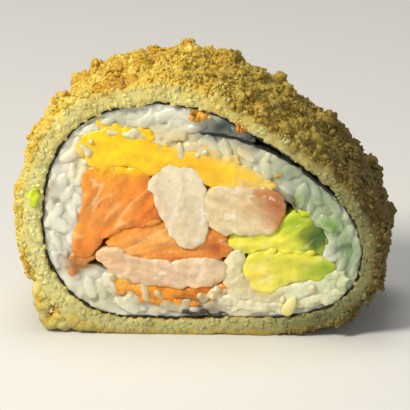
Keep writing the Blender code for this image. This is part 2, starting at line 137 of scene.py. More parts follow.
FOOD_TINTS = {
    "cheddar": [
        (-10.5, 26.4, 4.0, 2.2, "#FFD200", 0.9), (-13.8, 23.4, 2.8, 1.5, "#F29A00", 0.85),
        (-8.4, 23.6, 3.4, 0.9, "#F29400", 0.85), (-3.0, 24.9, 2.6, 1.2, "#EFA200", 0.75),
        (0.5, 26.4, 2.6, 1.0, "#FFC400", 0.8), (2.6, 24.4, 1.8, 0.9, "#E8AE28", 0.7),
        (5.2, 24.6, 1.5, 0.8, "#FFD21E", 0.8), (6.6, 23.0, 1.8, 0.8, "#E6C878", 0.85),
        (8.2, 24.0, 1.0, 0.8, "#F2C830", 0.8), (9.8, 22.4, 1.6, 1.0, "#E3CB86", 0.85),
        (0.0, 28.4, 3.0, 0.9, "#D2CAA0", 0.95), (4.0, 27.4, 2.4, 0.9, "#D2CAA0", 0.95),
        (7.4, 26.0, 1.8, 0.9, "#CFC79C", 0.95), (9.8, 24.8, 1.4, 0.9, "#CCC69C", 0.95),
        (-17.5, 24.6, 1.1, 2.4, "#D6D0B2", 0.95),
    ],
    "salmon_block": [
        (-13.5, 22.6, 3.2, 1.6, "#F09A24", 0.8), (-8.6, 22.4, 2.6, 1.8, "#EE8A16", 0.7),
        (-15.6, 17.2, 2.0, 4.0, "#EE9A3C", 0.7), (-7.2, 17.4, 1.8, 3.2, "#E07200", 0.85),
        (-11.6, 18.4, 2.4, 2.0, "#F0A04A", 0.55), (-15.2, 12.8, 2.0, 1.4, "#E07A10", 0.7),
        (-10.5, 14.4, 3.4, 1.2, "#E48A2A", 0.6), (-12.0, 24.3, 5.0, 1.0, "#F8B002", 0.9),
    ],
    "salmon_strip": [
        (-9.0, 12.8, 3.4, 1.4, "#F2A84E", 0.75), (-3.6, 11.6, 3.4, 0.8, "#DF7A12", 0.8),
        (2.6, 13.2, 2.0, 2.2, "#B85200", 0.9), (-5.5, 14.4, 3.0, 1.0, "#F2B066", 0.7),
    ],
    "shrimp_middle": [
        (-3.6, 23.4, 3.0, 1.8, "#EADCBA", 0.8), (-1.6, 20.6, 2.2, 2.2, "#E0CFAA", 0.7),
        (-2.2, 16.6, 2.4, 2.4, "#DCC59A", 0.8), (-0.6, 13.6, 2.0, 1.2, "#D9BE8C", 0.7),
        (-5.8, 20.0, 1.0, 3.0, "#D8B488", 0.6),
    ],
    "shrimp_right": [
        (3.4, 20.4, 2.2, 1.8, "#DFC79C", 0.8), (5.6, 17.4, 3.0, 1.4, "#E2CFA2", 0.8),
        (7.4, 19.6, 1.6, 1.4, "#D6AE74", 0.7), (10.9, 20.0, 2.1, 2.6, "#B05C06", 1.0),
        (9.0, 21.6, 1.8, 1.0, "#C4741A", 0.85), (11.6, 17.4, 1.4, 1.6, "#CE7C20", 0.95),
    ],
    "fish_slab": [
        (-13.0, 11.2, 2.2, 1.4, "#DDA872", 0.85), (-8.8, 9.8, 3.0, 1.4, "#DCB48C", 0.7),
        (-3.0, 9.0, 4.0, 1.2, "#DDBE9C", 0.8), (2.2, 9.6, 2.0, 1.4, "#DCC09A", 0.7),
        (-5.5, 8.0, 5.0, 0.7, "#E3BE94", 0.6),
    ],
    "orange_roe": [
        (-10.5, 7.6, 2.4, 1.2, "#F4BE4C", 0.8), (-4.6, 6.4, 2.4, 1.0, "#DE9024", 0.7),
        (0.8, 6.4, 3.0, 1.0, "#C06A00", 0.85),
    ],
    "avocado_upper": [
        (6.2, 13.8, 1.9, 1.6, "#F6E258", 0.95), (9.6, 13.4, 2.8, 1.1, "#F0E44A", 0.95),
        (12.0, 14.8, 2.2, 1.1, "#ECE64C", 0.95), (10.2, 16.4, 1.8, 1.0, "#D4DA20", 0.8),
        (13.4, 17.2, 1.6, 1.3, "#A6C808", 0.9), (17.2, 15.6, 2.4, 3.0, "#3A6600", 0.97),
        (16.2, 14.4, 1.6, 1.6, "#2F5A00", 0.9), (15.4, 12.9, 1.2, 0.8, "#6F9A04", 0.8),
    ],
    "avocado_lower": [
        (8.8, 9.4, 2.4, 1.8, "#EFD850", 0.9), (12.0, 8.8, 2.4, 1.8, "#E0D84C", 0.85),
        (12.6, 11.4, 3.0, 0.8, "#CFCF3A", 0.8), (16.2, 9.8, 1.8, 1.8, "#A6BE22", 0.95),
        (18.2, 10.6, 1.4, 1.6, "#86B010", 0.95), (9.0, 7.4, 2.0, 0.8, "#F0E070", 0.7),
    ],
    "cream_cheese": [
        (5.2, 10.2, 1.6, 2.2, "#D9CF98", 0.85), (5.6, 7.6, 1.4, 1.2, "#CDBC80", 0.8),
        (9.4, 6.2, 2.8, 1.0, "#CCBC80", 0.85), (15.2, 7.0, 3.2, 1.4, "#CFDAB0", 0.8),
        (18.8, 9.0, 1.6, 2.0, "#BCCE98", 0.8),
    ],
}

# How each filling is dressed: smoothing passes, colour, streak length, width, angle and strength, and
# the colour and strength of thin pale lines along the streaks where it has them
FOOD_LOOKS = {
    "cheddar": (1, "#FFCC00", 3.0, 1.2, -8, 0.16),
    "salmon_block": (1, "#F08A0C", 5.0, 0.9, 58, 0.26, "#FFD9A0", 0.70),
    "salmon_strip": (1, "#F0982A", 6.0, 0.8, 10, 0.24, "#FFD9A0", 0.65),
    "shrimp_middle": (2, "#E8DCBC", 4.0, 1.4, 70, 0.08, "#FFFDF2", 0.5),
    "shrimp_right": (2, "#E4CE9E", 3.0, 0.9, -30, 0.13, "#FFF8E4", 0.75),
    "fish_slab": (1, "#E6C8A2", 5.0, 0.7, -6, 0.15, "#FBF0DC", 0.65),
    "orange_roe": (1, "#E8921A", 1.2, 0.8, 0, 0.30),
    "avocado_upper": (1, "#D4DC34", 5.0, 0.8, 26, 0.16, "#FAF4B0", 0.50),
    "avocado_lower": (1, "#E6DE44", 6.0, 0.8, 6, 0.13, "#FBF6C4", 0.45),
    "cream_cheese": (1, "#E8E1BA", 3.0, 0.6, 40, 0.09, "#FFFDF2", 0.5),
}

# Toasted crumbs on the cut face: x, z, how far in front of it, length, turn, colour
STRAY_BITS = [
    (-0.4, 33.4, 0.45, 2.3, 0.4, "#D8982E"), (0.5, 33.0, 0.4, 1.6, 1.4, "#E8B24A"),
    (5.6, 31.4, 0.4, 1.7, 2.2, "#CC862C"), (11.4, 24.6, 0.2, 0.9, 0.2, "#C9962A"),
]

# Batter and crumb that hang from the lower left: x, z, radii in mm
DRIPS = [
    (-16.4, 1.2, 2.1, 1.7, 1.15), (-18.2, 1.9, 1.9, 1.6, 1.6), (-14.4, 0.9, 1.6, 1.4, 0.9),
    (-22.6, 3.9, 1.3, 1.2, 1.35), (-21.6, 5.0, 1.4, 1.3, 1.2), (-21.4, 1.1, 1.3, 1.2, 0.9),
    (-22.4, 2.0, 0.9, 0.9, 1.0), (-20.2, 2.2, 1.1, 1.1, 1.2), (-23.2, 6.2, 1.0, 1.1, 1.3),
    (-19.6, 0.9, 1.1, 1.2, 0.8), (-7.6, 0.7, 1.7, 1.2, 0.65), (-5.2, 0.6, 1.2, 1.1, 0.6),
    (2.2, 0.6, 1.5, 1.0, 0.55),
]

# Smears over a neighbour: piece, filling, what it lies on, reach in mm, how many bits, their size in mm
SMEARS = [
    ("cheddar_melt", "cheddar", "rice", 1.2, 90, 0.5),
    ("cream_smear", "cream_cheese", "rice", 2.0, 190, 0.55),
    ("cream_on_avocado", "cream_cheese", "avocado_lower", 1.2, 26, 0.42),
    ("roe_beads", "orange_roe", "rice", 1.1, 60, 0.36),
    ("roe_over_fish", "orange_roe", "fish_slab", 1.2, 18, 0.32),
    ("avocado_smear", "avocado_upper", "rice", 1.2, 16, 0.4),
    ("cheddar_on_salmon", "cheddar", "salmon_block", 1.4, 60, 0.5),
    ("avocado_bridge", "avocado_lower", "avocado_upper", 0.9, 26, 0.42),
    ("salmon_bridge", "salmon_strip", "salmon_block", 0.9, 24, 0.42),
]

# Loose grains on a filling's edge: the filling, reach in mm, how many
STRAY_GRAINS = [("orange_roe", 1.1, 34), ("cream_cheese", 1.3, 8), ("cheddar", 0.7, 56)]

# The hollow left of the salmon, where no grain lies, brown from salmon shreds and painted shade: x, z, radius
# in mm
HOLLOW = (-17.6, 10.4, 1.9)

# The sesame seed and the scrap of green: x, z, length and width in mm, lean in degrees
SESAME = (13.0, 4.7, 3.4, 1.7, 62)
GREEN_BIT = (-23.6, 20.4, 3.8, 1.5, 84)

# Grains in a cut face, in a front layer and one behind it: how deep their middles lie in mm, and for
# each kind the share of a whole grain's length, the middles of the circles that keep them apart as
# shares of that length, and how many spots are tried
GRAIN_LAYERS = [
    (0.78, [(1.0, (-0.3, 0.0, 0.3), 5000), (0.78, (-0.2, 0.2), 5000), (0.62, (-0.1, 0.1), 5000)]),
    (1.05, [(0.8, (-0.2, 0.2), 2500), (0.6, (-0.1, 0.1), 2500)]),
]

# Grains: width as a share of length, and half-width along a grain as shares
GRAIN_SLIMNESS = 0.43
GRAIN_PROFILE = [(-0.46, 0.28), (-0.34, 0.42), (-0.14, 0.49), (0.08, 0.50), (0.30, 0.43), (0.44, 0.27)]
GRAIN_SIDES = 8

# Each material is named for what it really is. Its columns: size of the mottling in mm and its contrast,
# size and height of the skin's unevenness in mm, roughness, weight and depth in mm of the light that
# scatters inside, how far red, green and blue get there, weight and roughness of a wet coat
MATERIALS = {
    # Wheat batter puffed in hot oil: matt and granular, golden outside, pale where it was cut
    "fried_batter": (0.8, 0.16, 0.5, 0.3, 0.6, 0.12, 1.0, (1.0, 0.6, 0.3), 0, 0),
    # Dried bread crumb fried crisp: porous flakes that scatter the light and barely shine
    "fried_bread_crumb": (0.7, 0.28, 0.35, 0.25, 0.55, 0.1, 1.0, (1.0, 0.6, 0.3), 0, 0),
    # Roasted seaweed sheet, softened by the rice: nearly black green with a moist sheen
    "pressed_seaweed": (0.9, 0.4, 0.6, 0.2, 0.45, 0, 1.0, (1.0, 0.6, 0.3), 0, 0),
    # Steamed short-grain rice: moist, slightly see-through, stained by its neighbours
    "cooked_rice": (2.0, 0.07, 0.8, 0.12, 0.34, 0.3, 1.4, (1.0, 0.85, 0.6), 0.15, 0.2),
    # Cheddar that softened in the fryer: bright yellow with a greasy sheen
    "melted_cheddar": (1.8, 0.06, 0.9, 0.2, 0.36, 0.15, 1.0, (1.0, 0.5, 0.05), 0.15, 0.2),
    # Warmed salmon: moist orange muscle flakes between thin pale lines of fat
    "salmon_flesh": (1.1, 0.10, 0.5, 0.3, 0.32, 0.15, 1.0, (1.0, 0.4, 0.1), 0.45, 0.12),
    # Cooked shrimp: firm ivory muscle with a wet surface, orange where the skin was
    "cooked_shrimp": (1.4, 0.08, 0.7, 0.25, 0.28, 0.3, 1.2, (1.0, 0.7, 0.4), 0.45, 0.1),
    # A slab of pale fish, faintly pink, with soft moist fibres
    "pale_fish": (1.3, 0.09, 0.6, 0.25, 0.3, 0.35, 1.8, (1.0, 0.6, 0.35), 0.35, 0.12),
    # Roe in an orange sauce, squeezed thin: small glossy beads
    "roe_in_sauce": (0.8, 0.16, 0.6, 0.3, 0.22, 0.2, 1.0, (1.0, 0.4, 0.1), 0.3, 0.1),
    # Ripe avocado: buttery and smooth, smeared by the knife
    "ripe_avocado": (1.8, 0.07, 0.9, 0.15, 0.34, 0.15, 1.0, (0.8, 1.0, 0.2), 0.2, 0.18),
    # Cream cheese: soft off-white, nearly matt, dragged by the knife
    "cream_cheese": (1.2, 0.06, 0.6, 0.25, 0.42, 0.25, 1.5, (1.0, 0.9, 0.7), 0, 0),
    # Toasted sesame: a smooth waxy skin
    "toasted_sesame": (1.0, 0.06, 0.5, 0.06, 0.4, 0, 1.0, (1.0, 0.6, 0.3), 0, 0),
}


def linear(hex_colour):
    """An sRGB hex colour as linear red, green, blue and alpha."""
    channels = [int(hex_colour[i : i + 2], 16) / 255 for i in (1, 3, 5)]
    return (*(c / 12.92 if c <= 0.04045 else ((c + 0.055) / 1.055) ** 2.4 for c in channels), 1.0)


def rgb(colour):
    """Linear red, green and blue of a hex colour or of a colour setting."""
    return np.array(linear(colour)[:3] if isinstance(colour, str) else colour[:3])


def amount_setting(name, description, default):
    return IntProperty(name=name, description=description, default=default, min=0)


def length_setting(name, description, default_mm):
    return FloatProperty(name=name, description=description, default=default_mm * MM, unit="LENGTH")


def colour_setting(name, description, hex_colour):
    return FloatVectorProperty(
        name=name, description=description, subtype="COLOR", size=4, default=linear(hex_colour))


class RollSettings(bpy.types.PropertyGroup):
    """Sizes, amounts and main colours of the piece."""

    coarse_crumbs: amount_setting("Coarse crumbs", "Large panko flakes", 70)
    medium_crumbs: amount_setting("Medium crumbs", "Crumbs of a millimetre or two", 1500)
    fine_crumbs: amount_setting("Fine crumbs", "Crumbs under a millimetre", 8600)
    crumb_dust: amount_setting("Crumb dust", "The smallest crumbs", 9400)
    cut_crumbs: amount_setting("Cut crumbs", "Pale crumbs in the cut batter", 1100)
    coarse_size: length_setting("Coarse size", "Length of a large flake", 1.8)
    medium_size: length_setting("Medium size", "Length of a medium crumb", 1.15)
    fine_size: length_setting("Fine size", "Length of a fine crumb", 0.68)
    grain_length: length_setting("Grain length", "Length of a cooked rice grain", 4.7)
    grain_gap: length_setting("Grain spacing", "Least distance between the middles of grains", 1.08)
    crumb_pale: colour_setting("Pale crumb", "Crumb that the oil hardly coloured", "#DCC85E")
    crumb_gold: colour_setting("Golden crumb", "Most of the crumb", "#CFA82C")
    crumb_toast: colour_setting("Toasted crumb", "Crumb that browned", "#B07A1C")
    # The olive crumb colour is painted shade, laid on the upper right and along the bottom of the crust.
    crumb_shade: colour_setting("Shaded crumb", "Crumb colour painted as shade on the upper right and the bottom", "#8C7A2A")
    batter: colour_setting("Batter", "Batter where the knife cut it", "#D6CF86")
    rice: colour_setting("Rice", "Cooked rice", "#E6E6D4")


def settings():
    return bpy.context.scene.fried_roll


def only(obj):
    """Makes one object the sole selected and active one."""
    bpy.ops.object.select_all(action="DESELECT")
    obj.select_set(True)
    bpy.context.view_layer.objects.active = obj


def modify(obj, kind, **values):
    """Adds a modifier with its settings and applies it."""
    only(obj)
    bpy.ops.object.modifier_add(type=kind)
    modifier = obj.modifiers[-1]
    for key, value in values.items():
        setattr(modifier, key, value)
    bpy.ops.object.modifier_apply(modifier=modifier.name)


def new_object(name, data):
    obj = bpy.data.objects.new(name, data)
    bpy.context.scene.collection.objects.link(obj)
    return obj


def merged_copy(node, name):
    """A copy of a solid with its loose triangles merged, as the start of a dressed piece."""
    obj = new_object(name, frame["nodes"][node].data.copy())
    obj.data.materials.clear()
    only(obj)
    bpy.ops.object.mode_set(mode="EDIT")
    bpy.ops.mesh.select_all(action="SELECT")
    bpy.ops.mesh.remove_doubles(threshold=1e-6)
    bpy.ops.object.mode_set(mode="OBJECT")
    return obj


def relief(obj, scale_mm, height_mm, depth=2):
    """Raises and lowers the surface by a clouds texture of a real size and height."""
    texture = bpy.data.textures.new(f"{obj.name}_clouds", "CLOUDS")
    texture.noise_scale = scale_mm * MM
    texture.noise_depth = depth
    modify(obj, "DISPLACE", texture=texture, texture_coords="LOCAL", strength=height_mm * MM, mid_level=0.5)


def even_skin(obj, voxel_mm, smoothing):
    """An even fine mesh over the piece, with its corners softened."""
    modify(obj, "REMESH", mode="VOXEL", voxel_size=voxel_mm * MM, use_smooth_shade=True)
    modify(obj, "SMOOTH", factor=0.5, iterations=smoothing)


def read(items, name, width=3):
    """A property of all vertices or faces, as an array with a row for each."""
    values = np.empty(len(items) * width)
    items.foreach_get(name, values)
    return values.reshape(-1, width)


def points_of(obj):
    """Vertex places in millimetres and unit normals, as arrays."""
    vertices = obj.data.vertices
    return read(vertices, "co") / MM, read(vertices, "normal")


def move_points(obj, places_mm):
    obj.data.vertices.foreach_set("co", (places_mm * MM).ravel())
    obj.data.update()


def clouds(places, size_mm, shift=0.0):
    """Soft noise between about -1 and 1 at each place, in lumps of the given size."""
    sizes = np.broadcast_to(size_mm, (3,))
    return np.array([noise.noise(Vector(p)) for p in places / sizes + shift])


def soft_step(values, middle, width):
    """Rises from 0 to 1 about the middle, or falls where the width is negative."""
    return 1 / (1 + np.exp(-(values - middle) / width))


def paint(obj, colours):
    """Stores a linear colour for each vertex, for the material to read."""
    full = np.ones((len(colours), 4), np.float32)
    full[:, :3] = np.clip(colours, 0, 1)
    attribute = obj.data.attributes.new("tint", "FLOAT_COLOR", "POINT")
    attribute.data.foreach_set("color", full.ravel())


def blend(colours, over, share):
    """Lays one colour over others, by a share for each place."""
    share = share[:, None]
    return colours * (1 - share) + over * share


def mottled(colours, strength, places, size_mm, shift):
    """Colours made darker and paler by soft noise."""
    return colours * (1 + strength * clouds(places, size_mm, shift))[:, None]


def blotched(places, height_mm, size_mm, shift=0.0):
    """Places moved about by soft noise, which gives the borders between tints their blotches."""
    moves = [height_mm * clouds(places, size_mm, shift + step) for step in (1.0, 2.0, 3.0)]
    return places + np.stack(moves, axis=1)


def tinted(places, colour, tints):
    """A base colour at each place, tinted near the given spots of the cut face."""
    colours = np.tile(rgb(colour), (len(places), 1))
    for x, z, across, up, tint, strength in tints:
        away = ((places[:, 0] - x) / across) ** 2 + ((places[:, 2] - z) / up) ** 2
        colours = blend(colours, rgb(tint), strength * np.exp(-away))
    return colours


def finished(obj, material, slot, *nodes):
    """Gives a piece its finish, and lets it ride with the roll in place of its solids."""
    obj.data.materials.clear()
    obj.data.materials.append(material)
    obj.data.shade_smooth()
    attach(obj, BODY)
    if nodes:
        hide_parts(*nodes)
    return obj


def joined(name, templates, placements, colours=None):
    """One mesh of many small shapes, each (template number, 3x3 matrix, place), in its own colour."""
    corners, faces, count = [], [], 0
    for which, turn, place in placements:
        points, triangles = templates[which]
        corners.append(points @ turn.T + place)
        faces.append(triangles + count)
        count += len(points)
    mesh = bpy.data.meshes.new(name)
    mesh.from_pydata((np.concatenate(corners) * MM).tolist(), [], np.concatenate(faces).tolist())
    obj = new_object(name, mesh)
    if colours is not None:
        paint(obj, np.repeat(colours, [len(points) for points in corners], axis=0))
    return obj


def box_mm(node):
    """The low and high corner of a solid's box, in millimetres."""
    return [np.array(corner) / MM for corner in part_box(node)]


class CutFace:
    """Where one cut face lies, and what shows at each place on it."""

    trees = {}

    def __init__(self, side):
        self.side = side
        edge = np.array([v.co for v in frame["nodes"]["nori"].data.vertices]) / MM
        edge = edge[edge[:, 1] * side > 0]
        self.fit = np.linalg.lstsq(self.terms(edge[:, 0], edge[:, 2]), edge[:, 1], rcond=None)[0]

    @staticmethod
    def terms(x, z):
        x, z = np.asarray(x, float) / 20, np.asarray(z, float) / 20
        return np.stack([x**0, x, z, x * z, x**2, z**2, x**3, z**3, x**2 * z, x * z**2], axis=-1)

    def depth(self, x, z):
        """The Y of the bowed cut face at a place, in millimetres."""
        return self.terms(x, z) @ self.fit

    def place(self, x, z, proud):
        """The place at x, z that stands so far in front of the cut face."""
        return np.array([x, self.depth(x, z) + self.side * proud, z])

    def proud(self, places):
        """How far each place stands in front of the cut face, in millimetres."""
        return self.side * (places[:, 1] - self.depth(places[:, 0], places[:, 2]))

    def hold_back(self, places, limit, softness=0.0):
        """Moves what stands further than the limit in front of the face back to it."""
        over = np.maximum(self.proud(places) - limit, 0)
        places[:, 1] -= self.side * over * (1 - softness)

    def surface(self, node, x, z):
        """Where the node shows at this cut face, in mm in front of it, or None."""
        if node not in self.trees:
            mesh = frame["nodes"][node].data
            self.trees[node] = BVHTree.FromPolygons(
                [v.co for v in mesh.vertices], [list(p.vertices) for p in mesh.polygons])
        start = Vector((x * MM, self.side * 30 * MM, z * MM))
        hit = self.trees[node].ray_cast(start, Vector((0, -self.side, 0)))[0]
        if hit is None:
            return None
        proud = self.side * (hit.y / MM - self.depth(x, z))
        return proud if abs(proud) < 1.4 else None

    def shows(self, node, x, z):
        return self.surface(node, x, z) is not None

    def rice_at(self, x, z):
        """Whether rice shows at a place that keeps clear of the nori and of the hollow."""
        if not self.shows("rice", x, z) or math.dist((x, z), HOLLOW[:2]) < HOLLOW[2]:
            return False
        near = NORI_CLEARANCE
        ring = [math.tau * k / 8 for k in range(8)]
        return not any(self.shows("nori", x + near * math.cos(a), z + near * math.sin(a)) for a in ring)


FACES = [CutFace(-1), CutFace(1)]
FRONT = FACES[0]


def border_spots(face, node, onto, reach, count, seed):
    """Spots on one node's face that lie within reach of another node, as melted or dragged bits do."""
    draw = random.Random(seed)
    low, high = box_mm(node)
    spots = []
    for _ in range(500 * count):
        if len(spots) == count:
            break
        x, z = draw.uniform(low[0] - reach, high[0] + reach), draw.uniform(low[2] - reach, high[2] + reach)
        if not face.shows(onto, x, z):
            continue
        around = draw.uniform(0, math.tau)
        away = draw.uniform(0.2, reach)
        if face.shows(node, x + away * math.cos(around), z + away * math.sin(around)):
            spots.append((x, z))
    return spots


def shape_of(bm):
    """The points and triangles of a working mesh, which is freed."""
    bm.verts.index_update()
    shape = np.array([v.co for v in bm.verts]), np.array([[v.index for v in f.verts] for f in bm.faces])
    bm.free()
    return shape


def crumb_shape(seed, subdivisions, jag=0.6):
    """One irregular fried crumb, a unit long, with pits and corners."""
    draw = random.Random(seed)
    bm = bmesh.new()
    bmesh.ops.create_icosphere(bm, subdivisions=subdivisions, radius=0.5)
    shift = Vector((seed * 3.7, seed * 1.3, seed * 7.1))
    for vert in bm.verts:
        knob = noise.noise(vert.co * 3.1 + shift) * 0.9 + noise.noise(vert.co * 7.3 + shift) * 0.5
        vert.co *= 1 + knob * jag + draw.uniform(-0.16, 0.16) * jag * 2
    stretch = Vector((draw.uniform(0.85, 1.25), draw.uniform(0.6, 0.95), draw.uniform(0.4, 0.75)))
    bmesh.ops.scale(bm, vec=stretch, verts=bm.verts)
    return shape_of(bm)


def grain_shape(seed):
    """One cooked rice grain, a unit long along X, slightly bent, with a blunt germ end."""
    draw = random.Random(seed)
    bend = draw.uniform(-0.10, 0.10)
    squash = draw.uniform(0.82, 1.0)
    points, faces = [], []
    for along, half in GRAIN_PROFILE:
        for k in range(GRAIN_SIDES):
            around = math.tau * k / GRAIN_SIDES
            wide = half * GRAIN_SLIMNESS * 2 * (1 + draw.uniform(-0.05, 0.05))
            sag = bend * (1 - 4 * along * along)
            points.append((along, math.cos(around) * wide / 2 * squash, math.sin(around) * wide / 2 + sag))
    rings = len(GRAIN_PROFILE)
    for r in range(rings - 1):
        for k in range(GRAIN_SIDES):
            a, b = r * GRAIN_SIDES + k, r * GRAIN_SIDES + (k + 1) % GRAIN_SIDES
            faces.append((a, b, b + GRAIN_SIDES))
            faces.append((a, b + GRAIN_SIDES, a + GRAIN_SIDES))
    for along, ring, order in ((-0.5, 0, -1), (0.5, rings - 1, 1)):
        tip = len(points)
        points.append((along, 0, 0))
        for k in range(GRAIN_SIDES):
            pair = (ring * GRAIN_SIDES + k, ring * GRAIN_SIDES + (k + 1) % GRAIN_SIDES)
            faces.append((tip, *pair[::order]))
    return np.array(points), np.array(faces)


def ball_shape():
    bm = bmesh.new()
    bmesh.ops.create_icosphere(bm, subdivisions=2, radius=1.0)
    return shape_of(bm)


def face_turn(angle, tip=0.0, roll=0.0):
    """A turn that lays a shape's X axis in the cut face at an angle, tipped out of it and rolled."""
    turn = Matrix.Rotation(-angle, 3, "Y") @ Matrix.Rotation(tip, 3, "Z") @ Matrix.Rotation(roll, 3, "X")
    return np.array(turn)


def lumps(name, ellipsoids, voxel_mm=LUMP_VOXEL, smoothing=2):
    """Soft matter from overlapping ellipsoids, (place, radii, angle in the face), as one skin."""
    placements = [(0, face_turn(angle) @ np.diag(radii), place) for place, radii, angle in ellipsoids]
    obj = joined(name, [ball_shape()], placements)
    even_skin(obj, voxel_mm, smoothing)
    return obj


def add_node(tree, kind, inputs=None, **values):
    """Adds a shader node with its settings and its input values or links."""
    made = tree.nodes.new(kind)
    for key, value in values.items():
        setattr(made, key, value)
    for key, value in (inputs or {}).items():
        if isinstance(value, bpy.types.NodeSocket):
            tree.links.new(value, made.inputs[key])
        else:
            made.inputs[key].default_value = value
    return made


def new_finish(name, **constants):
    """A material with a Principled shader and the sockets that are the same all over."""
    material = bpy.data.materials.new(name)
    material.use_nodes = True
    shader = material.node_tree.nodes["Principled BSDF"]
    for key, value in constants.items():
        shader.inputs[key.replace("_", " ").title()].default_value = value
    return material, shader


def food(name):
    """A food whose painted tint is clouded by fine mottling, and whose skin is finely uneven."""
    mottle_mm, contrast, skin_mm, skin_height_mm, roughness, inner, depth_mm, spread, coat, sheen = (
        MATERIALS[name])
    material, shader = new_finish(
        name, roughness=roughness, subsurface_weight=inner, subsurface_scale=depth_mm * MM,
        subsurface_radius=spread, coat_weight=coat, coat_roughness=sheen)
    tree = material.node_tree
    place = add_node(tree, "ShaderNodeTexCoord").outputs["Object"]
    tint = add_node(tree, "ShaderNodeAttribute", attribute_name="tint").outputs["Color"]
    cloud, skin = (
        add_node(tree, "ShaderNodeTexNoise", {"Vector": place, "Scale": 1 / (size * MM), "Detail": detail})
        for size, detail in ((mottle_mm, 5.0), (skin_mm, 4.0)))
    shade = add_node(tree, "ShaderNodeMapRange", {
        "Value": cloud.outputs["Fac"], "From Min": 0.25, "From Max": 0.75,
        "To Min": 1 - contrast, "To Max": 1 + contrast})
    colour = add_node(tree, "ShaderNodeVectorMath", {0: tint, 1: shade.outputs[0]}, operation="MULTIPLY")
    tree.links.new(colour.outputs[0], shader.inputs["Base Color"])
    bump = add_node(tree, "ShaderNodeBump", {
        "Height": skin.outputs["Fac"], "Strength": 0.6, "Distance": skin_height_mm * MM})
    tree.links.new(bump.outputs["Normal"], shader.inputs["Normal"])
    return material


def crust_tint(places, draws=0.0):
    """Crumb colour: gold with pale and toasted patches, paler on the left as painted light, with painted shade
    in olive towards the upper right and along the bottom, and in dark brown at the far right.
    """
    looks = settings()
    tone = 0.36 + 0.34 * clouds(places, 5.0, 2.0) + 0.26 * clouds(places, 1.6, 7.0) + 0.11 * draws
    # Lower tone on the left makes the crumb paler there: painted light.
    tone = np.clip(tone - 0.16 * np.clip((-12 - places[:, 0]) / 8, 0, 1), 0, 1)
    colours = [rgb(c) for c in (looks.crumb_pale, looks.crumb_gold, looks.crumb_toast, "#7A4A12")]
    stops = [0.05, 0.42, 0.78, 1.0]
    base = np.stack([np.interp(tone, stops, [c[k] for c in colours]) for k in range(3)], axis=1)
    # Olive towards the upper right and along the bottom is painted shade.
    shade_slope = places[:, 0] * 0.75 + places[:, 2] * 0.25 + 5 * clouds(places, 3.4, 11.0)
    share = np.clip(0.78 * soft_step(shade_slope, 11, 2.2) + 0.30 * soft_step(places[:, 2], 5, -1.5), 0, 0.88)
    base = blend(base, rgb(looks.crumb_shade) * (0.75 + 0.5 * tone[:, None]), share)
    # Dark brown at the far right is painted shade.
    far = 0.7 * soft_step(places[:, 0] + 3 * clouds(places, 3.0, 14.0), 17.5, 1.6)
    return blend(base, rgb("#4C3A10"), far)


def batter_tint(places):
    """Cut batter: pale yellow-green with moist darker pores, and painted shade that makes it duller low and
    right.
    """
    base = np.tile(rgb(settings().batter), (len(places), 1))
    # Darker olive towards the right and at the bottom is painted shade.
    right_shade, low = soft_step(places[:, 0], 13, 3.5), soft_step(places[:, 2], 3.5, -1.2)
    base = blend(base, rgb("#50542C"), np.clip(0.85 * right_shade + 0.45 * low, 0, 0.9))
    patches = np.clip(0.35 + 1.2 * clouds(places, 2.8, 12.0), 0, 1)
    base = blend(base, rgb("#CFB24C"), 0.7 * patches * np.clip((places[:, 2] - 20) / 14, 0, 1))
    pores = clouds(places, 0.6, 3.0) * 0.18 + clouds(places, 1.8, 5.0) * 0.2
    return base * (1 + pores)[:, None]


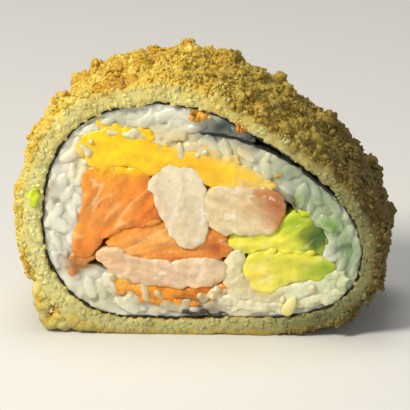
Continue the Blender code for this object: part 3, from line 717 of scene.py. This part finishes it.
class SUSHI_OT_crust(bpy.types.Operator):
    """Makes the batter shell, rough and golden outside and pale where it was cut"""

    bl_idname = "sushi.crust"
    bl_label = "Fried batter"

    def execute(self, context):
        crust = merged_copy("crust", "batter_shell")
        even_skin(crust, CRUST_VOXEL, 3)
        modify(crust, "DISPLACE", strength=CRUST_GROWTH * MM, mid_level=0.0)
        calm, normals = points_of(crust)
        outer = np.sum(self.outward(calm) * normals, axis=1) > 0.25
        sliced = np.abs(normals[:, 1]) > 0.6
        relief(crust, 2.8, 0.8, 3)
        relief(crust, 0.9, 0.5)
        places, normals = points_of(crust)
        places = calm + (places - calm) * np.where(sliced, 0.75, 1)[:, None]
        knobs = np.maximum(clouds(places, 2.2, 4.0), 0) * 1.5 * outer
        places += normals * knobs[:, None] * (1 - np.abs(normals[:, 1:2]))
        grit = clouds(places, 0.75, 9.0) * np.where(sliced, 0.2, 0.28)
        places += normals * grit[:, None]
        for face in FACES:
            face.hold_back(places, 0.35, 0.25)
        places[:, 2] = np.maximum(places[:, 2], LOWEST)
        move_points(crust, places)

        places, normals = points_of(crust)
        cut = np.clip((np.abs(normals[:, 1]) - 0.3) / 0.4, 0, 1)
        near = np.maximum(*(np.clip(2.2 + face.proud(places), 0, 1) for face in FACES))
        rim = self.rim_distance(places, normals)
        cut *= near * np.clip((rim - 0.1 + 0.35 * clouds(places, 1.2, 8.0)) / 1.1, 0, 1)
        # The crust's colours carry the painted light and shade of crust_tint and batter_tint.
        paint(crust, blend(crust_tint(places), batter_tint(places), cut))
        finished(crust, food("fried_batter"), "crust", "crust")
        self.drips()
        return {"FINISHED"}

    @staticmethod
    def outward(places):
        """The direction away from the roll's axis at each place."""
        low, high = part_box("nori")
        away = places - (np.array(low) + np.array(high)) / 2 / MM
        away[:, 1] = 0
        return away / np.linalg.norm(away, axis=1)[:, None]

    def rim_distance(self, places, normals):
        """How far each place is from the fried outside, in millimetres."""
        outside = (np.sum(self.outward(places) * normals, axis=1) > 0.5) & (np.abs(normals[:, 1]) < 0.5)
        tree = kdtree.KDTree(int(outside.sum()))
        for number, place in enumerate(places[outside]):
            tree.insert(place, number)
        tree.balance()
        return np.array([tree.find(place)[2] for place in places])

    @staticmethod
    def drips():
        """Lumps of batter that ran down the lower left before it set."""
        draw = random.Random(5)
        parts = []
        for x, z, rx, ry, rz in DRIPS:
            middle = FRONT.place(x, z, -0.75)
            parts.append((middle, (rx, ry, rz), draw.uniform(-0.3, 0.3)))
            for _ in range(5):
                away = draw.uniform(-0.8, 0.8) * rx, draw.uniform(-0.4, 0.9) * ry, draw.uniform(-0.7, 0.7) * rz
                size = draw.uniform(0.4, 0.7)
                parts.append((middle + away, (size, size * 0.9, size * 0.8), draw.uniform(0, 3)))
        obj = lumps("batter_drips", parts)
        relief(obj, 0.8, 0.5)
        places, _ = points_of(obj)
        places[:, 2] = np.maximum(places[:, 2], LOWEST)
        move_points(obj, places)
        mixed = np.clip(0.5 + clouds(places, 1.6, 1.0), 0, 1)
        # Their colours carry the painted light and shade of crust_tint and batter_tint.
        paint(obj, blend(crust_tint(places), batter_tint(places), mixed))
        finished(obj, food("fried_batter"), "crust")


class SUSHI_OT_crumbs(bpy.types.Operator):
    """Scatters fried bread crumb in four sizes over the batter, and pale crumb in its cut faces"""

    bl_idname = "sushi.crumbs"
    bl_label = "Bread crumb"

    def execute(self, context):
        looks = settings()
        shell = bpy.data.objects["batter_shell"]
        kinds = (
            ("crumb_coarse", looks.coarse_crumbs, looks.coarse_size, 3, 31, 0.16, False),
            ("crumb_medium", looks.medium_crumbs, looks.medium_size, 2, 32, 0.16, False),
            ("crumb_fine", looks.fine_crumbs, looks.fine_size, 1, 33, 0.14, False),
            ("crumb_dust", looks.crumb_dust, looks.fine_size * 0.66, 1, 34, 0.14, False),
            ("crumb_cut", looks.cut_crumbs, looks.fine_size, 2, 35, -0.05, True),
        )
        finish = food("fried_bread_crumb")
        low, high = box_mm("crust")
        for name, count, size, subdivisions, seed, lift, cut in kinds:
            draw = random.Random(seed)
            templates = [crumb_shape(seed * 10 + n, subdivisions) for n in range(CRUMB_SHAPES)]
            kept, draws = [], []
            for place, normal in self.spots(shell, count, seed, cut):
                scale = size / MM * draw.uniform(0.6, 1.4)
                place = place + normal * scale * draw.uniform(-lift, lift)
                if place[2] < scale * 0.45 + 0.1:
                    continue
                kept.append((draw.randrange(CRUMB_SHAPES), self.lie_on(normal, draw) * scale, place))
                draws.append(draw.gauss(0, 1))
            places, draws = np.array([crumb[2] for crumb in kept]), np.array(draws)
            # The cut crumbs carry the painted shade of batter_tint; the others carry the painted light and
            # shade of crust_tint.
            if cut:
                colours = batter_tint(places) * (1.02 + 0.07 * draws)[:, None]
            else:
                colours = crust_tint(places, draws)
            crumbs = joined(name, templates, kept, colours)
            places, _ = points_of(crumbs)
            for face in FACES:
                face.hold_back(places, 0.5 if cut else 0.7, 0.3)
            places = np.clip(places, low - CRUMB_REACH, high + CRUMB_REACH)
            places[:, 2] = np.maximum(places[:, 2], LOWEST)
            move_points(crumbs, places)
            finished(crumbs, finish, "crust")
        self.stray_bits(finish)
        return {"FINISHED"}

    @staticmethod
    def stray_bits(finish):
        """Toasted crumbs that the knife left on the cut face."""
        templates = [crumb_shape(700 + n, 2) for n in range(LOOSE_SHAPES)]
        draw = random.Random(44)
        placements, colours = [], []
        for x, z, out, length, angle, colour in STRAY_BITS:
            for _ in range(9):
                spot = x + draw.gauss(0, 0.26) * length, z + draw.gauss(0, 0.2) * length
                place = FRONT.place(*spot, out * draw.uniform(0, 1))
                turn = face_turn(angle + draw.gauss(0, 0.7), draw.gauss(0, 0.5), draw.uniform(0, 6))
                size = length * draw.uniform(0.3, 0.6)
                placements.append((draw.randrange(LOOSE_SHAPES), turn * size, place))
                colours.append(rgb(colour) * draw.uniform(0.6, 1.4))
        finished(joined("crumbs_on_face", templates, placements, colours), finish, "crust")

    @staticmethod
    def spots(shell, count, seed, cut):
        """Places and normals spread by area over the shell's outside, or over its cut faces."""
        polygons = shell.data.polygons
        areas = read(polygons, "area", 1)[:, 0]
        centres, normals = read(polygons, "center") / MM, read(polygons, "normal")
        if cut:
            near = np.maximum(*(face.proud(centres) for face in FACES))
            weights = areas * ((np.abs(normals[:, 1]) > 0.55) & (near > -0.9))
        else:
            outward = np.sum(SUSHI_OT_crust.outward(centres) * normals, axis=1)
            wanted = (outward > 0.2) & (np.abs(normals[:, 1]) < 0.85) & (normals[:, 2] > -0.97)
            weights = areas * wanted * np.clip(0.75 + 1.3 * clouds(centres, 3.4, 6.0), 0.15, 2)
        drawn = np.random.default_rng(seed).choice(len(areas), size=count, p=weights / weights.sum())
        return [(centres[i], normals[i]) for i in drawn]

    @staticmethod
    def lie_on(normal, draw):
        """A turn that lays a flake's flat side on the surface, tilted and spun at random."""
        flat = Vector((0, 0, 1)).rotation_difference(Vector(normal)).to_matrix()
        loose = Euler((draw.gauss(0, 0.6), draw.gauss(0, 0.6), draw.uniform(0, math.tau))).to_matrix()
        return np.array(flat @ loose)


class SUSHI_OT_nori(bpy.types.Operator):
    """Makes the wound seaweed sheet, finely wrinkled along its cut edges"""

    bl_idname = "sushi.nori"
    bl_label = "Nori sheet"

    def execute(self, context):
        nori = merged_copy("nori", "nori_sheet")
        only(nori)
        bpy.ops.object.mode_set(mode="EDIT")
        bpy.ops.mesh.select_all(action="SELECT")
        bpy.ops.mesh.subdivide(number_cuts=3, smoothness=0.0)
        bpy.ops.object.mode_set(mode="OBJECT")
        places, normals = points_of(nori)
        along = places * (1, 0.15, 1)
        wave = 0.20 * clouds(along, 1.7, 9.0) + 0.10 * clouds(along, 0.7, 3.0)
        places += normals * (1, 0, 1) * (-0.12 + 0.06 * clouds(places, 0.8, 1.0))[:, None]
        places += SUSHI_OT_crust.outward(places) * wave[:, None]
        near = np.clip((np.abs(places[:, 1]) - 9) / 1.5, 0, 1)
        places[:, 1] += np.sign(places[:, 1]) * near * (-0.16 + 0.28 * clouds(along, 0.9, 5.0))
        move_points(nori, places)
        paint(nori, mottled(rgb("#12150C"), 0.8, places, 1.3, 8.0))
        finished(nori, food("pressed_seaweed"), "nori", "nori")

        draw = random.Random(12)
        torn = []
        for _ in range(26):
            x = draw.uniform(-2.2, 3.4)
            z = 3.15 + 0.30 * math.sin(x * 2.1) + draw.uniform(-0.12, 0.2)
            place = FRONT.place(x, z, draw.uniform(0.0, 0.25))
            radii = (draw.uniform(0.35, 0.9), 0.22, draw.uniform(0.10, 0.2))
            torn.append((place, radii, draw.gauss(0, 0.6)))
        scrap = lumps("nori_scrap", torn, 0.14, 1)
        paint(scrap, mottled(rgb("#3A3428"), 0.6, points_of(scrap)[0], 0.8, 2.0))
        finished(scrap, food("pressed_seaweed"), "nori")
        return {"FINISHED"}


class SUSHI_OT_rice(bpy.types.Operator):
    """Makes the pressed rice, with whole and cut grains set in both cut faces, and the sesame seed"""

    bl_idname = "sushi.rice"
    bl_label = "Rice"

    def execute(self, context):
        finish = food("cooked_rice")
        mass = merged_copy("rice", "rice_mass")
        even_skin(mass, RICE_VOXEL, 3)
        modify(mass, "DISPLACE", strength=RICE_GROWTH * MM, mid_level=0.0)
        places, _ = points_of(mass)
        for face in FACES:
            face.hold_back(places, -RICE_RECESS)
        places[:, 1] += 0.36 * clouds(places, 1.3, 5.0) + 0.12 * clouds(places, 0.7, 8.0)
        move_points(mass, places)
        paint(mass, self.rice_tint(places))
        finished(mass, finish, "rice", "rice")

        templates = [grain_shape(n) for n in range(GRAIN_SHAPES)]
        grains = joined("rice_grains", templates, [grain for face in FACES for grain in self.grains(face)])
        even_skin(grains, GRAIN_VOXEL, 1)
        places, normals = points_of(grains)
        for face in FACES:
            face.hold_back(places, 0.04, 0.45)
        places += normals * (0.10 * clouds(places, 1.1, 2.0) + 0.08 * clouds(places, 0.5, 4.0))[:, None]
        move_points(grains, places)
        paint(grains, self.rice_tint(places))
        finished(grains, finish, "rice")
        self.seed()
        return {"FINISHED"}

    @staticmethod
    def rice_tint(places):
        """Rice colour: stained by its neighbours, with painted shade in its hollows and in the grooves between
        grains.
        """
        colours = tinted(blotched(places, 1.1, 2.0), settings().rice, RICE_TINTS)
        proud = np.maximum(*(face.proud(places) for face in FACES))
        # Darker where it lies deeper than the cut: painted shade in the grooves between grains.
        groove_shade = np.clip(1 + np.clip(proud, -0.7, 0) * 0.35, 0, 1)
        return mottled(colours * groove_shade[:, None], 0.10, places, 1.6, 6.0)

    @staticmethod
    def grains(face):
        """Grains pressed side by side in the cut face: whole ones first, then shortened ones."""
        looks = settings()
        draw = random.Random(50 + face.side)
        low, high = box_mm("rice")
        centre = (low + high) / 2
        length = looks.grain_length / MM
        gap = looks.grain_gap / MM
        placements = []
        for inset, kinds in GRAIN_LAYERS:
            taken = np.full((1, 2), 1e3)
            for share, middles, tries in kinds:
                for _ in range(tries):
                    spot = np.array([draw.uniform(low[0], high[0]), draw.uniform(low[2], high[2])])
                    angle = math.atan2(spot[1] - centre[2], spot[0] - centre[0]) + math.pi / 2
                    angle += draw.gauss(0, 0.65)
                    along = np.array([math.cos(angle), math.sin(angle)])
                    circles = spot + np.outer(middles, along) * length
                    if np.min(np.linalg.norm(taken[:, None] - circles[None], axis=2)) < gap:
                        continue
                    if not all(face.rice_at(*circle) for circle in circles):
                        continue
                    taken = np.vstack([taken, circles])
                    size = length * share * draw.uniform(0.92, 1.08)
                    place = face.place(*spot, -inset - draw.uniform(-0.36, 0.36))
                    stretch = np.diag([1, 1 / share**0.5, 1 / share**0.5])
                    turn = face_turn(angle, draw.gauss(0, 0.2), draw.uniform(0, math.tau)) @ stretch * size
                    placements.append((draw.randrange(GRAIN_SHAPES), turn, place))
        return placements

    @staticmethod
    def seed():
        """A toasted sesame seed stuck in the rice near the lower edge: a flat teardrop."""
        x, z, length, width, lean = SESAME
        bpy.ops.object.select_all(action="DESELECT")
        bpy.ops.mesh.primitive_uv_sphere_add(segments=32, ring_count=20, radius=0.5)
        seed = bpy.context.object
        seed.name = "sesame_seed"
        points = np.array([v.co for v in seed.data.vertices]) * 2
        taper = 1 - 0.34 * points[:, 0]
        scales = np.stack([np.full(len(points), length / 2), taper * 0.38, taper * width / 2], axis=1)
        place = FRONT.place(x, z, 0.42)
        move_points(seed, (points * scales) @ face_turn(math.radians(lean)).T + place)
        places, _ = points_of(seed)
        paint(seed, tinted(places, "#E4D98C", [(x, z + 0.8, 0.9, 0.9, "#F1E8A8", 0.8)]))
        finished(seed, food("toasted_sesame"), "rice")


class SUSHI_OT_fillings(bpy.types.Operator):
    """Makes the cheese, salmon, shrimp, fish, roe, avocado and cream cheese from face to face"""

    bl_idname = "sushi.fillings"
    bl_label = "Fillings"

    def execute(self, context):
        finishes = {
            "cheddar": food("melted_cheddar"), "salmon": food("salmon_flesh"),
            "shrimp": food("cooked_shrimp"), "fish": food("pale_fish"), "orange": food("roe_in_sauce"),
            "avocado": food("ripe_avocado"), "cream": food("cream_cheese"),
        }
        slots = {"orange": "roe"}
        for number, node in enumerate(FOOD_LOOKS):
            kind = node.split("_")[0]
            piece = self.piece(node, 3.0 * number)
            finished(piece, finishes[kind], slots.get(kind, kind), node)
        for name, node, onto, reach, count, size in SMEARS:
            kind = node.split("_")[0]
            smear = self.dragged(name, node, onto, reach, count, size)
            finished(smear, finishes[kind], slots.get(kind, kind))
        self.stray_rice()
        self.salmon_shreds(finishes["salmon"])
        return {"FINISHED"}

    @staticmethod
    def stray_rice():
        """Single grains that cling to the edges of the fillings."""
        placements = []
        for face in FACES:
            for onto, reach, count in STRAY_GRAINS:
                draw = random.Random(f"{onto}{face.side}")
                for x, z in border_spots(face, "rice", onto, reach, count, f"{onto}{face.side}rice"):
                    size = draw.uniform(2.0, 3.6)
                    place = face.place(x, z, -draw.uniform(0.2, 0.5))
                    turn = face_turn(draw.uniform(0, 3), draw.gauss(0, 0.5), draw.uniform(0, 6)) * size
                    placements.append((draw.randrange(LOOSE_SHAPES), turn, place))
        grains = joined("stray_grains", [grain_shape(40 + n) for n in range(LOOSE_SHAPES)], placements)
        even_skin(grains, LUMP_VOXEL, 2)
        places, normals = points_of(grains)
        places += normals * (0.14 * clouds(places, 0.9, 2.0))[:, None]
        move_points(grains, places)
        spot_tinted = tinted(places, "#D6CFA8", [(-4.0, 6.5, 9.0, 2.0, "#D6BC84", 0.8)])
        paint(grains, mottled(spot_tinted, 0.2, places, 1.2, 3.0))
        finished(grains, food("cooked_rice"), "rice")

    @staticmethod
    def salmon_shreds(finish):
        """Shreds of salmon in the hollow between the block, the slab and the rice, darker in its middle by
        painted shade.
        """
        draw = random.Random(21)
        parts = []
        for face in FACES:
            for _ in range(30):
                x, z = HOLLOW[0] + draw.gauss(0.3, 1.0), HOLLOW[1] + draw.gauss(0.2, 0.7)
                place = face.place(x, z, -draw.uniform(0.5, 1.2))
                radii = (draw.uniform(0.5, 1.1), 0.6, draw.uniform(0.4, 0.8))
                parts.append((place, radii, draw.gauss(0.5, 0.5)))
        shreds = lumps("salmon_shreds", parts)
        places, _ = points_of(shreds)
        x, z, reach = HOLLOW
        # The darker brown in the middle of the hollow is painted shade over the salmon's orange.
        spot_tinted = tinted(places, "#D8933A", [(x, z - 0.4, 0.7 * reach, 0.6 * reach, "#8E4E12", 0.9)])
        paint(shreds, mottled(spot_tinted, 0.3, places, 0.9, 2.0))
        finished(shreds, finish, "salmon")

    def piece(self, node, shift):
        """One filling, swollen against its neighbours, with its grain and colours."""
        smoothing, _, long, wide, angle, strength = FOOD_LOOKS[node][:6]
        piece = merged_copy(node, f"{node}_piece")
        even_skin(piece, FILLING_VOXEL, smoothing)
        places, normals = points_of(piece)
        places += normals * (1, 0, 1) * FILLING_GROWTH
        flat = places * (1, 0.3, 1)
        for axis in (0, 2):
            places[:, axis] += 0.42 * clouds(flat, 1.8, shift + axis) + 0.22 * clouds(flat, 0.7, shift + axis)
        streaks = self.streaks(places, long, wide, angle, shift)
        fine = clouds(places, 0.8, shift)
        swell = 0.16 * clouds(places, 2.2, shift) + 0.13 * fine + 0.13 * streaks
        places += normals * swell[:, None]
        for face in FACES:
            face.hold_back(places, FILLING_PROUD + 0.1 * fine, FILLING_REST)
        move_points(piece, places)
        mottle = strength * (streaks + 0.7 * clouds(places, 1.6, shift + 9) + 0.2 * clouds(places, 0.5, shift))
        colours = self.tint(node, places, shift) * (1 + mottle)[:, None]
        if len(FOOD_LOOKS[node]) > 6:
            line, share = FOOD_LOOKS[node][6:]
            thin = self.streaks(places, long * 1.1, wide * 1.7, angle, shift + 5)
            patches = np.clip(0.45 + 2 * clouds(places, 2.4, 1.5), 0, 1)
            colours = blend(colours, rgb(line), share * np.clip(1 - np.abs(thin) / 0.16, 0, 1) * patches)
        paint(piece, colours)
        return piece

    @staticmethod
    def tint(node, places, shift):
        """The filling's colour, with blotchy borders between its tones."""
        return tinted(blotched(places, 0.7, 1.8, shift), FOOD_LOOKS[node][1], FOOD_TINTS[node])

    @staticmethod
    def streaks(places, long, wide, angle, shift):
        """Fibres in the cut face, from noise that is stretched along them."""
        turn = math.radians(angle)
        along = places[:, 0] * math.cos(turn) + places[:, 2] * math.sin(turn)
        across = places[:, 2] * math.cos(turn) - places[:, 0] * math.sin(turn)
        across = across + 0.5 * np.sin(along / 2.7 + shift)
        stretched = np.stack([along / long, places[:, 1] / 6, across / wide], axis=1)
        return 1.5 * clouds(stretched, 1.0, shift)

    def dragged(self, name, node, onto, reach, count, size):
        """Bits of a filling that melted or that the knife dragged over its neighbour."""
        parts = []
        for face in FACES:
            draw = random.Random(f"{name}{face.side}")
            for x, z in border_spots(face, node, onto, reach, count, f"{name}{face.side}"):
                place = face.place(x, z, draw.uniform(-0.45, 0.05))
                grown = size * (draw.uniform(0.5, 1.0) ** 2 * 1.5)
                radii = (grown * draw.uniform(1.0, 2.2), size * 0.55, grown * draw.uniform(0.6, 1.1))
                parts.append((place, radii, draw.gauss(0.3, 0.9)))
        obj = lumps(name, parts)
        places, _ = points_of(obj)
        paint(obj, mottled(self.tint(node, places, 1.0), 0.14, places, 0.9, 2.0))
        return obj


class SUSHI_OT_greens(bpy.types.Operator):
    """Lays the scrap of green that the batter caught at its left edge"""

    bl_idname = "sushi.greens"
    bl_label = "Green scrap"

    def execute(self, context):
        x, z, length, width, lean = GREEN_BIT
        draw = random.Random(3)
        parts = []
        turn = math.radians(lean)
        last = 13
        for k in range(last + 1):
            along = (k / last - 0.5) * (length - width)
            spot = (x + along * math.cos(turn) + draw.gauss(0, 0.22), z + along * math.sin(turn))
            wide = width / 2 * (1 - 0.45 * (2 * k / last - 1) ** 2) * draw.uniform(0.45, 1.15)
            parts.append((FRONT.place(*spot, 0.7), (0.45, 0.3, wide), turn + draw.gauss(0, 0.7)))
        scrap = lumps("green_scrap", parts, 0.16, 1)
        relief(scrap, 0.6, 0.4)
        paint(scrap, mottled(rgb("#C9D820"), 0.4, points_of(scrap)[0], 0.8, 2.0))
        finished(scrap, food("ripe_avocado"), "crust")
        return {"FINISHED"}


class SUSHI_OT_stage(bpy.types.Operator):
    """Sets the floor, the soft studio light and the camera"""

    bl_idname = "sushi.stage"
    bl_label = "Stage"

    def execute(self, context):
        bpy.ops.object.select_all(action="DESELECT")
        bpy.ops.mesh.primitive_plane_add(size=3.0, location=(0, 0, 0))
        floor = context.object
        floor.name = "floor"
        # Pale matt paper, which takes a soft shadow and leaves the colours of the food alone
        material, shader = new_finish("pale_paper", roughness=0.85)
        shader.inputs["Base Color"].default_value = linear("#DCDBD7")
        floor.data.materials.append(material)

        target = Vector((0.6, -8.0, 19.0)) * MM
        self.lamp("key", (-0.28, -0.24, 0.37), 0.16, 2.6, "#FFF8EC", target)
        self.lamp("top", (-0.04, 0.06, 0.45), 0.24, 0.55, "#FFFFFF", target)
        self.lamp("fill", (0.30, -0.42, 0.14), 0.35, 0.3, "#F2F5FF", target)

        world = bpy.data.worlds.new("studio")
        world.use_nodes = True
        background = world.node_tree.nodes["Background"]
        background.inputs["Color"].default_value = linear("#F4F4F2")
        background.inputs["Strength"].default_value = 0.28
        context.scene.world = world
        context.scene.view_settings.view_transform = "Standard"

        azimuth, elevation, distance, width = math.radians(5), math.radians(19), 0.5, 0.0583
        away = Vector((
            math.sin(azimuth) * math.cos(elevation), -math.cos(azimuth) * math.cos(elevation),
            math.sin(elevation)))
        camera_data = bpy.data.cameras.new("camera")
        camera = new_object("camera", camera_data)
        aim = Vector((0.8, -11.0, 19.7)) * MM
        camera.location = aim + away * distance
        camera.rotation_euler = (-away).to_track_quat("-Z", "Y").to_euler()
        camera_data.lens = camera_data.sensor_width * distance / width
        camera_data.clip_start = 0.01
        context.scene.camera = camera
        return {"FINISHED"}

    @staticmethod
    def lamp(name, place, size, watts, hex_colour, target):
        light = bpy.data.lights.new(name, "AREA")
        light.shape = "DISK"
        light.size = size
        light.energy = watts
        light.color = linear(hex_colour)[:3]
        obj = new_object(name, light)
        obj.location = place
        obj.rotation_euler = (target - Vector(place)).to_track_quat("-Z", "Y").to_euler()


STEPS = [
    SUSHI_OT_crust, SUSHI_OT_crumbs, SUSHI_OT_nori, SUSHI_OT_rice, SUSHI_OT_fillings, SUSHI_OT_greens,
    SUSHI_OT_stage,
]


class SUSHI_PT_panel(bpy.types.Panel):
    """Lists the roll's settings and the steps that dress it"""

    bl_label = "Fried sushi roll"
    bl_idname = "SUSHI_PT_panel"
    bl_space_type = "VIEW_3D"
    bl_region_type = "UI"
    bl_category = "Sushi"

    def draw(self, context):
        column = self.layout.column()
        for name in RollSettings.__annotations__:
            column.prop(context.scene.fried_roll, name)
        for step in STEPS:
            column.operator(step.bl_idname)


CLASSES = [RollSettings, *STEPS, SUSHI_PT_panel]


def register():
    for each in CLASSES:
        bpy.utils.register_class(each)
    bpy.types.Scene.fried_roll = PointerProperty(type=RollSettings)


def unregister():
    del bpy.types.Scene.fried_roll
    for each in reversed(CLASSES):
        bpy.utils.unregister_class(each)


def main():
    register()
    bpy.ops.object.select_all(action="DESELECT")
    bpy.ops.sushi.crust()
    bpy.ops.sushi.crumbs()
    bpy.ops.sushi.nori()
    bpy.ops.sushi.rice()
    bpy.ops.sushi.fillings()
    bpy.ops.sushi.greens()
    bpy.ops.sushi.stage()


if __name__ == "__main__":
    main()
